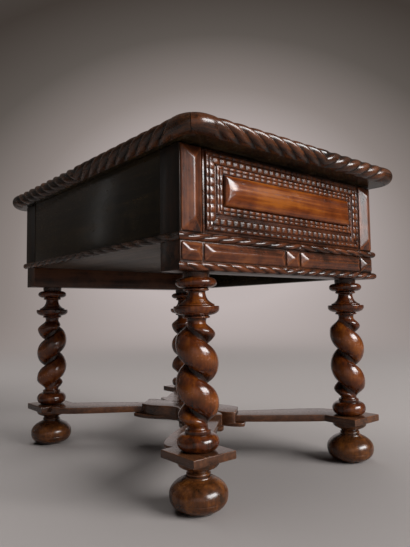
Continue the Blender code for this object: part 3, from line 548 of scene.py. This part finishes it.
def build_top_edges():
    """Rope-carved strips round the top, mitred at its corners; only the front turns off its middle."""
    low, high = box("top_board")
    half = (high - low)[:2] / 2
    middle = (low[2] + high[2]) / 2
    even = (EDGE_DEPTH, EDGE_DEPTH)
    plans = {
        "front": (half[0], half[1], EDGE_TURN, (EDGE_DEPTH, EDGE_SHALLOW), lambda plan: plan * (1, -1)),
        "rear": (half[0], half[1], 0.0, even, lambda plan: plan),
        "left": (half[1], half[0], 0.0, even, lambda plan: plan[..., ::-1] * (-1, 1)),
        "right": (half[1], half[0], 0.0, even, lambda plan: plan[..., ::-1]),
    }
    for side, (run, across, turn_at, depths, lay) in plans.items():
        path, half_length = corner_path(run, across)

        def place(s, out, up, path=path, lay=lay):
            back, way = path(s)
            plan = lay(back + way * out[..., None])
            return np.concatenate([plan, middle + up[..., None]], axis=-1)

        shell = Shell()
        rope(shell, place, half_length - GAP / 2, turn_at, EDGE_RADIUS, EDGE_PITCH, depths, EDGE_PLAIN, EDGE_LEAN)
        finish = EDGE_X if side in ("front", "rear") else CARVED_Y
        shell.piece(f"rope_edge_{side}", finish, [f"top_edge_{side}"], sharp=60)


def build_small_ropes():
    """Thin ropes on the edge of the bed and along the foot of the front rail.

    Each is straight along one axis of its node's box and half round away from the case. A mitred end draws in by
    how far a point stays behind the crest; the rear ends of the side ropes are square.
    """
    case, rail = (0.0032, 0.0187, -1.0), (0.0033, 0.0158, 1.0)    # radius, pitch and lean
    depth, plain = 0.0013, 0.002
    # Axis along, axis outwards and its sign, turning point, one if the far end is mitred too, measures, finish
    runs = {"case_rope_front": (0, 1, -1, 0.010, 1, case, CARVED_X),
            "case_rope_left": (1, 0, -1, 0.0, 0, case, CARVED_Y),
            "case_rope_right": (1, 0, 1, 0.0, 0, case, CARVED_Y),
            "rail_rope_front": (0, 1, -1, -0.010, 1, rail, CARVED_X)}
    for node, (run, out_axis, out_way, turn_at, both, (radius, pitch, lean), finish) in runs.items():
        low, high = box(node)
        centre, half = (low + high) / 2, (high - low) / 2
        back = centre[out_axis] - out_way * half[out_axis]

        def place(s, out, up):
            behind = radius - out
            share = s / half[run]
            s = s + behind * np.clip(-share, 0.0, 1.0) ** 12 - behind * both * np.clip(share, 0.0, 1.0) ** 12
            point = np.zeros((*s.shape, 3))
            point[..., run] = centre[run] + s
            point[..., out_axis] = back + out_way * out
            point[..., 2] = centre[2] + up
            return point

        shell = Shell()
        rope(shell, place, half[run], turn_at, radius, pitch, (depth, depth), plain, lean, 12, 17)
        shell.piece(f"thin_{node}", finish, [node], sharp=60)


# Raised panels and mouldings of the front


def raised(shell, x, z, rise, face, hollow, ridge):
    """Height over a rectangle, standing out from a front face, closed by walls and a flat back."""
    lowest_wall = 0.0002
    points = np.stack([x, face - np.maximum(rise, lowest_wall), z], axis=-1)
    shell.grid(points, hollow, ridge)
    ring = np.concatenate([points[0, :-1], points[:-1, -1], points[-1, :0:-1], points[:0:-1, 0]])
    wall = np.stack([ring, ring * (1, 0, 1) + (0, face, 0)])
    # The walls are darkened: painted shade in the crevice, with some dirt.
    shell.grid(wall, 0.6, wrap=True)
    shell.lid(wall[1])


def spread(low, high, count, ease):
    """Places from low to high, closer together within the ease of both ends."""
    near = np.linspace(0.0, ease, 5)
    return np.concatenate([low + near, np.linspace(low + ease, high - ease, count)[1:-1], high - near[::-1]])


def hipped(node, name, finish, rise, edge=0.0008):
    """Raised panel: height is the edge plus the slope times the lesser distance to the panel's sides.

    The lesser distance is rounded along the hips and the ridge, and falls away on a small round at the rim.
    """
    low, high = box(node)
    count_x, count_z = (int(np.clip((high - low)[axis] / 0.0005, 30, 200)) for axis in (0, 2))
    x, z = np.meshgrid(spread(low[0], high[0], count_x, 0.0009), spread(low[2], high[2], count_z, 0.0009))
    half = min(high[0] - low[0], high[2] - low[2]) / 2
    blend, rim = 0.0025, 0.0006
    from_side = smooth_least(x - low[0], high[0] - x, blend)
    from_end = smooth_least(z - low[2], high[2] - z, blend)
    inside = np.maximum(smooth_least(from_side, from_end, blend), 0.0)
    height = edge * quarter_round(inside, rim) + rise * inside / half
    straight = np.minimum(np.minimum(x - low[0], high[0] - x), np.minimum(z - low[2], high[2] - z))
    worn = np.clip((straight - inside) / (blend * 0.22), 0.0, 1.0)
    shell = Shell()
    # The rim is darkened as painted shade and dirt; the rounded hips are paler with wear.
    raised(shell, x, z, height, high[1], 0.45 * (1.0 - rise_and_fall(inside, 0.0, 0.0010)), worn * 0.9)
    shell.piece(name, finish, [node], sharp=50)


def build_panels():
    """Hipped panels on both stiles and along the front rail."""
    for side in SIDES:
        hipped(f"stile_panel_{side}", f"hipped_stile_{side}", STILE, 0.0046)
    for place in ("left_end", "left", "centre", "right", "right_end"):
        hipped(f"rail_panel_{place}", f"hipped_rail_{place}", PANEL_X, 0.0036)


def framed(node):
    """Outer left, lower, right and upper edges of a frame of four mitred strips of the drawer."""
    left, below = box(f"{node}_left")[0][0], box(f"{node}_bottom")[0][2]
    right, above = box(f"{node}_right")[1][0], box(f"{node}_top")[1][2]
    return np.array((left, below, right, above))


BEAD_WIDTH = 0.0070
FRAME_WIDTHS = np.array((0.0110, 0.0134, 0.0110, 0.0090))    # left, bottom, right, top: the inner frame sits high
INSET = np.array((1, 1, -1, -1))
SIDE_PLACES = {"left": 0, "bottom": 1, "right": 2, "top": 3}
FRAME_EDGES = framed("drawer_frame")
BEAD_EDGES = FRAME_EDGES + INSET * (FRAME_WIDTHS + GAP)
PILLOW_EDGES = BEAD_EDGES + INSET * (BEAD_WIDTH + GAP)
RIPPLE_PITCH = 0.0073


def build_pillow():
    """Pillow of the drawer: a low wall, then a height that swells from all four sides as a quarter ellipse.

    Its ends rise a third more steeply than its long sides, and its hips are rounded over a width that grows with
    the distance from each corner.
    """
    low, high = box("drawer_pillow")
    left, below, right, above = PILLOW_EDGES
    x, z = np.meshgrid(spread(left, right, 220, 0.0012), spread(below, above, 60, 0.0012))
    half = (above - below) / 2
    tall, wall = high[1] - low[1], 0.0020
    from_side = smooth_least(x - left, right - x, 0.0004) * 1.3
    from_end = smooth_least(z - below, above - z, 0.0004)
    hip = 0.0004 + 0.40 * np.minimum(from_side + from_end, 0.020)
    inside = np.maximum(smooth_least(from_side, from_end, hip), 0.0)
    height = wall * quarter_round(inside, 0.0007) + (tall - wall) * quarter_round(inside, half)
    shell = Shell()
    # The rim is darkened as painted shade and dirt.
    raised(shell, x, z, height, high[1], 0.4 * (1.0 - rise_and_fall(inside, 0.0, 0.0009)), 0.0)
    shell.piece("drawer_pillow_panel", FIGURED, ["drawer_pillow"], "drawer", sharp=50)


def bead(t, middle, half_width):
    """Flat-topped bead across a moulding: root of one less the distance over the half width to the power four."""
    return np.sqrt(np.clip(1.0 - ((t - middle) / half_width) ** 4, 0.0, 1.0))


def outer_beads(t):
    """Ground and waved height across the outer moulding: narrow bead, quirk, broad bead, groove.

    In the wide strip at the bottom the broad bead lies farther in.
    """
    middle = 0.0062 if t[-1] < 0.012 else 0.0076
    ground = 0.0010 - 0.0005 * rise_and_fall(t, middle + 0.0029, middle + 0.0034)
    narrow, broad = bead(t, 0.00165, 0.00150), bead(t, middle, 0.00285)
    return ground, 0.0011 * narrow + 0.0014 * broad


def inner_beads(t):
    """Ground and waved height across the inner moulding: two narrow beads."""
    ground = 0.0008 + 0.0 * t
    return ground, 0.0010 * bead(t, 0.0016, 0.0013) + 0.0010 * bead(t, 0.0050, 0.0016)


def rippled(node, name, finish, beads, edges, width, depth):
    """Ripple moulding: beads across it, whose height along it is a row of half waves, cut to mitred ends.

    The height sinks by the depth where the size of the sine of the wave's phase comes down to nought. A point's
    distance along the strip runs between the two mitres at its own inset from the outer edge.
    """
    face = box(node)[1][1]
    side = node.rsplit("_", 1)[1]
    run, across = (0, 2) if side in ("top", "bottom") else (2, 0)
    inward = -1 if side in ("top", "right") else 1
    outer = edges[SIDE_PLACES[side]]
    first, last = edges[run // 2] + GAP / 2, edges[run // 2 + 2] - GAP / 2
    length = last - first
    waves = round(length / RIPPLE_PITCH)
    t = np.concatenate([[0.0], np.linspace(0.0, width, 54), [width]])
    wall = np.ones_like(t)
    wall[[0, -1]] = 0.0
    share = np.linspace(0.0, 1.0, waves * 16 + 1)[:, None]
    s = first + t + share * (length - 2 * t)
    phase = (s - first) / length * waves
    sunk = 1.0 - np.abs(np.sin(math.pi * phase))
    ground, raised_part = beads(t)
    height = wall * (ground + raised_part * (1.0 - depth * sunk))
    points = np.zeros((*s.shape, 3))
    points[..., run] = s
    points[..., across] = outer + inward * t
    points[..., 1] = face - height
    crest = raised_part / raised_part.max()
    # Valleys between waves and the feet of the beads are darkened: partly dirt, partly painted shade.
    hollow = np.clip((0.96 - crest) * 2.5, 0.0, 1.0) * 0.25 + 0.75 * sunk ** (1.2 / depth) * crest
    shell = Shell()
    shell.grid(points, hollow, np.clip(crest * (1.0 - 1.6 * sunk), 0.0, 1.0))
    shell.grid(points[:, [0, -1]])
    shell.lid(points[0])
    shell.lid(points[-1])
    shell.piece(name, finish, [node], "drawer", sharp=55)


def build_mouldings():
    """Two frames of ripple mouldings round the pillow, each of four mitred strips."""
    for side, place in SIDE_PLACES.items():
        finish, depth = (RIPPLE_X, 0.60) if side in ("top", "bottom") else (CARVED_Z, 0.26)
        strips = {"frame": (outer_beads, FRAME_EDGES, FRAME_WIDTHS[place]),
                  "bead": (inner_beads, BEAD_EDGES, BEAD_WIDTH)}
        for strip, shape in strips.items():
            rippled(f"drawer_{strip}_{side}", f"ripple_{strip}_{side}", finish, *shape, depth)


# Boards and posts with rubbed edges


QUARTER = np.radians(np.linspace(0.0, 90.0, 5))      # steps round an eased edge
RUBBED = np.array((0.0, 0.7, 1.0, 0.7, 0.0))         # how worn those steps are


def eased_block(node, name, finish, ease=0.0006, body="desk"):
    """Board or post: a rounded rectangle carried along its longest axis, drawn in on a quarter round at its ends."""
    low, high = box(node)
    centre, half = (low + high) / 2, (high - low) / 2
    run = int(np.argmax(half))
    first, second = [axis for axis in range(3) if axis != run]
    place = half[run] - ease * (1.0 - np.sin(QUARTER))
    inset = ease * (1.0 - np.cos(QUARTER))
    place = np.concatenate([-place[::-1], place])[:, None]
    inset = np.concatenate([inset[::-1], inset])[:, None]
    corner = np.concatenate([QUARTER + quarter * math.pi / 2 for quarter in range(4)])
    hand_a, hand_b = (np.repeat(hands, len(QUARTER)) for hands in ([1, -1, -1, 1], [1, 1, -1, -1]))
    points = np.zeros((len(place), len(corner), 3))
    points[..., run] = centre[run] + place
    points[..., first] = centre[first] + hand_a * (half[first] - ease) + (ease - inset) * np.cos(corner)
    points[..., second] = centre[second] + hand_b * (half[second] - ease) + (ease - inset) * np.sin(corner)
    shell = Shell()
    shell.grid(points, ridge=np.maximum(np.tile(RUBBED, 4), np.tile(RUBBED, 2)[:, None]), wrap=True)
    shell.lid(points[0])
    shell.lid(points[-1])
    shell.piece(name, finish, [node], body, sharp=40)


def build_case():
    """Posts, boards, bed and rails of the case, and the front board of the drawer."""
    for end in ENDS:
        for side in SIDES:
            eased_block(f"post_{end}_{side}", f"corner_post_{end}_{side}", DARK_SHADED_Z)
        eased_block(f"{end}_rail", f"{end}_leg_rail", DARK_SHADED_X)
    for side in SIDES:
        eased_block(f"side_board_{side}", f"case_side_{side}", DARK_SHADED_Y, 0.0004)
    eased_block("back_board", "case_back", DARK_SHADED_X, 0.0004)
    eased_block("case_bottom", "case_bed", BED, 0.0005)
    eased_block("right_rail", "right_leg_rail", DARK_SHADED_Y)
    eased_block("drawer_front", "drawer_face_board", CARVED_X, 0.0004, "drawer")


# Stretcher


def rounded_slab(shell, plan, low, high, ease):
    """Flat piece: its plan carried up the edge, drawn in on quarter rounds at both faces, with flat lids.

    A plan point is drawn in along the mean of the normals of its two sides.
    """
    ahead = np.roll(plan, -1, axis=0) - plan
    normal = np.stack([ahead[:, 1], -ahead[:, 0]], axis=1)
    normal /= np.linalg.norm(normal, axis=1)[:, None] + 1e-12
    both = normal + np.roll(normal, 1, axis=0)
    inward = -both / np.maximum(np.sum(both * both, axis=1, keepdims=True) / 2, 0.5)
    area = np.sum(plan[:, 0] * np.roll(plan[:, 1], -1) - plan[:, 1] * np.roll(plan[:, 0], -1))
    inward = inward if area > 0 else -inward
    outward, upward = ease * (1 - np.cos(QUARTER)), ease * (1 - np.sin(QUARTER))
    inset = np.concatenate([upward, outward])
    level = np.concatenate([low + outward, high - upward])
    points = np.concatenate([plan + inset[:, None, None] * inward,
                             np.broadcast_to(level[:, None, None], (len(level), len(plan), 1))], axis=-1)
    shell.grid(points, ridge=np.tile(RUBBED, 2)[:, None], wrap=True)
    shell.lid(points[0])
    shell.lid(points[-1])


LEG_PLACE = np.array((0.1000, 0.1405))               # middle of the right rear leg
PAD_HALF = 0.0210
ARM_WIDTH = 0.0280
CUSP_HALF = 0.0155               # half the width of the block's ends
ROOT = np.array((0.0215, 0.0550))                    # middle of the right rear arm's root
ROOT_OUT = (LEG_PLACE - PAD_HALF - ROOT) / np.linalg.norm(LEG_PLACE - PAD_HALF - ROOT)
ROOT_ALONG = np.array((ROOT_OUT[1], -ROOT_OUT[0]))


def arm_plan():
    """One arm in the right rear quarter: square pad, notch and lobe, two bowed cubic sides, straight root."""
    start, width = ROOT + ROOT_OUT * GAP, ARM_WIDTH
    inner, outer = LEG_PLACE - PAD_HALF, LEG_PLACE + PAD_HALF
    end_root, side_root = start - ROOT_ALONG * width / 2, start + ROOT_ALONG * width / 2
    notch = PAD_HALF * 0.28
    end_edge = bezier([(inner[0], inner[1] + notch), (inner[0] - notch, inner[1] + notch * 0.5),
                       end_root + ROOT_OUT * width * 0.9, end_root], 24)
    tip = np.array((outer[0] - notch * 1.6, inner[1] - notch * 0.8))
    side_edge = bezier([side_root, side_root + ROOT_OUT * width * 0.9, tip - np.array((0.1, 0.9)) * width, tip], 26)
    return chain([(outer[0], outer[1]), (inner[0], outer[1])], end_edge, side_edge,
                 [(tip[0] - notch * 0.3, inner[1]), (outer[0], inner[1])])


def block_plan(reach=0.0, step=0.0):
    """Centre block: four straight ends with cusps and cubic hollows between them, one quarter turned over twice.

    The ends stand out along the arms by the reach, and the hollows by the step.
    """
    middle = ROOT + ROOT_OUT * reach
    end_cusp, side_cusp = middle - ROOT_ALONG * CUSP_HALF, middle + ROOT_ALONG * CUSP_HALF
    waist, end = np.array((0.018 + step, 0.0)), np.array((0.0, 0.044 + step))
    side_curve = bezier([waist, waist + (0.0, side_cusp[1] * 0.35),
                         (side_cusp[0] * 1.05, side_cusp[1] * 0.4), side_cusp], 16)
    end_curve = bezier([end_cusp, (end_cusp[0] * 0.5, end_cusp[1]),
                        (end_cusp[0] * 0.1, (end_cusp[1] + end[1]) / 2), end], 12)
    quarter = chain(side_curve, end_curve)
    half = chain(quarter, quarter[-2:0:-1] * (-1, 1))
    return chain(half, half * (-1, -1))


def build_stretcher():
    """Four arms and the thicker centre block of the crossed stretcher, with its wider foot under the arms."""
    margin = 0.0005
    low, high = box("stretcher_centre")
    under = box("stretcher_arm_front_left")[0][2] - margin
    shell = Shell()
    rounded_slab(shell, block_plan(), low[2] + margin, high[2], 0.0009)
    rounded_slab(shell, block_plan(0.0095, 0.0004), low[2], under, 0.0008)
    shell.piece("stretcher_block", LIMB, ["stretcher_centre"])
    plan = arm_plan()
    for end, way in ENDS.items():
        for side, hand in SIDES.items():
            node = f"stretcher_arm_{end}_{side}"
            low, high = box(node)
            shell = Shell()
            rounded_slab(shell, plan * (hand, way), low[2], high[2], 0.0008)
            shell.piece(f"stretcher_limb_{end}_{side}", LIMB, [node])


def finish_frame():
    """Finishes for the pieces that keep the frame's own shape."""
    keep = {"top_board": DARK_SHADED_Y, "drawer_side_left": INNER_Y, "drawer_side_right": INNER_Y, "drawer_back": INNER_X,
            "drawer_bottom": INNER_X, "drawer_guide_left": INNER_Y, "drawer_guide_right": INNER_Y,
            "drawer_stop": INNER_X}
    for node, finish in keep.items():
        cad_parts[node].data.materials.clear()
        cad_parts[node].data.materials.append(finish)


# Studio


def build_floor():
    """Pale studio floor that turns up into a round backdrop: a flat disc, a wide quarter round, an upright wall.

    The floor takes light and shadow. Away from the desk it passes into a painted pool of light on the backdrop,
    which glows by itself for the camera and in mirror images; its tone follows the distance from a point behind the
    desk, measured across the view and upwards. In mirror images the floor near the desk is painted two fifths darker.
    """
    flat, cove, wall_top = 1.6, 2.4, 4.4
    profile = chain(np.stack([np.linspace(0.0, flat, 17), np.zeros(17)], axis=1),
                    arc((flat, cove), cove, -90, 0, 48)[1:], [(flat + cove, wall_top)])
    shell = Shell()
    shell.grid(lathe(profile, 0.0, 0.0, 96), wrap=True)
    mesh = bpy.data.meshes.new("studio_floor")
    mesh.from_pydata(np.concatenate(shell.points).tolist(), [], shell.faces)
    mesh.shade_smooth()
    start, link, material = new_finish("studio_grey_painted_glow", Roughness=0.8, Specular_IOR_Level=0.1, Emission_Strength=1.0)
    coords = start.node("ShaderNodeTexCoord", out="Object")
    x, y, z = (start.node("ShaderNodeSeparateXYZ", {}, {"Vector": coords}, out=axis) for axis in "XYZ")
    cloud = start.node("ShaderNodeTexNoise", {}, {"Vector": coords, "Scale": 0.9, "Detail": 2.0})
    pale = cloud.tint(tone(0.400, 0.364, 0.350), tone(0.430, 0.392, 0.378))
    yaw_cosine, yaw_sine = 0.769, 0.639
    across, rise = x * yaw_cosine - y * yaw_sine - 0.1, (z - 0.9) * 1.1
    pool = ((across * across + rise * rise) ** 0.5) * 0.25
    stops = [(0.20, (0.50, 0.44, 0.43)), (0.36, (0.25, 0.215, 0.20)), (0.50, (0.105, 0.09, 0.08)),
             (0.65, (0.05, 0.04, 0.034)), (0.95, (0.09, 0.08, 0.074))]
    glow = start.node("ShaderNodeValToRGB", {"stops": stops}, {"Fac": pool})
    camera_ray, glossy_ray = (start.node("ShaderNodeLightPath", out=f"Is {ray} Ray") for ray in ("Camera", "Glossy"))
    far = ((x * x + y * y) ** 0.5).step(0.8, 2.2)
    black = tone(0.0, 0.0, 0.0)
    # Painted light: the backdrop glows by emission for the camera and in mirror images, and the floor is darker in
    # mirror images.
    dim = (far + glossy_ray * 0.40).held()
    lit = far * (camera_ray + glossy_ray).held()
    link(Base_Color=dim.tint(pale, black), Emission_Color=lit.tint(black, glow))
    mesh.materials.append(material)
    floor = bpy.data.objects.new("studio_floor", mesh)
    bpy.context.scene.collection.objects.link(floor)


def area_lamp(name, place, target, size, power):
    """Soft rectangular lamp that faces a target."""
    lamp = bpy.data.lights.new(name, "AREA")
    lamp.shape = "RECTANGLE"
    lamp.size, lamp.size_y = size
    lamp.energy = power
    holder = bpy.data.objects.new(name, lamp)
    way = (Vector(place) - Vector(target)).to_track_quat("Z", "Y")
    holder.matrix_world = Matrix.Translation(place) @ way.to_matrix().to_4x4()
    bpy.context.scene.collection.objects.link(holder)
    return holder


def build_light():
    """Broad soft box before the drawer, three dim lamps for highlights, an overhead lamp and a weak surround.

    The overhead lamp has no mirror image in the polish.
    """
    area_lamp("key", (1.03, -3.08, 1.78), (-0.03, -0.10, 0.16), (2.50, 1.30), 134.0)
    area_lamp("reflector", (0.50, -3.00, 0.36), (-0.03, -0.10, 0.20), (2.50, 0.70), 17.5)
    area_lamp("card", (0.42, -3.08, 0.72), (0.0, -0.10, 0.20), (0.50, 0.45), 4.2)
    area_lamp("strip", (-1.12, 1.63, 0.62), (-0.12, -0.06, 0.24), (0.06, 0.60), 0.10)
    overhead = area_lamp("overhead", (0.1, 0.6, 2.3), (0.0, 0.3, 0.0), (2.2, 2.2), 32.0)
    overhead.visible_glossy = False
    world = bpy.data.worlds.new("studio")
    world.use_nodes = True
    surround = world.node_tree.nodes["Background"].inputs
    surround["Color"].default_value = tone(0.55, 0.53, 0.52)
    surround["Strength"].default_value = 0.12
    bpy.context.scene.world = world
    bpy.context.scene.view_settings.view_transform = "Standard"


EYE = (-0.3552, -0.4590, 0.1542)
FOCAL_LENGTH = 510.7             # in pixels of the photograph
PHOTO_HEIGHT = 547.0
SENSOR_HEIGHT = 36.0             # in millimetres


def build_camera():
    """Camera from its place, its yaw from +Y towards +X, its pitch and its roll."""
    yaw, pitch, roll = 0.6932, 0.0728, -0.0138
    ahead = np.array((math.cos(pitch) * math.sin(yaw), math.cos(pitch) * math.cos(yaw), math.sin(pitch)))
    right = np.array((math.cos(yaw), -math.sin(yaw), 0.0))
    up = np.cross(right, ahead)
    across = math.cos(roll) * right + math.sin(roll) * up
    upward = math.cos(roll) * up - math.sin(roll) * right
    camera = bpy.data.cameras.new("photograph")
    camera.sensor_fit = "VERTICAL"
    camera.sensor_height = SENSOR_HEIGHT
    camera.lens = SENSOR_HEIGHT * FOCAL_LENGTH / PHOTO_HEIGHT
    camera.clip_start = 0.01
    holder = bpy.data.objects.new("photograph", camera)
    turn = np.eye(4)
    turn[:3, :3] = np.stack([across, upward, -ahead], axis=1)
    turn[:3, 3] = EYE
    holder.matrix_world = Matrix(turn.tolist())
    bpy.context.scene.collection.objects.link(holder)
    bpy.context.scene.camera = holder


build_feet()
build_legs()
build_top_edges()
build_small_ropes()
build_panels()
build_pillow()
build_mouldings()
build_case()
build_stretcher()
finish_frame()
build_floor()
build_light()
build_camera()
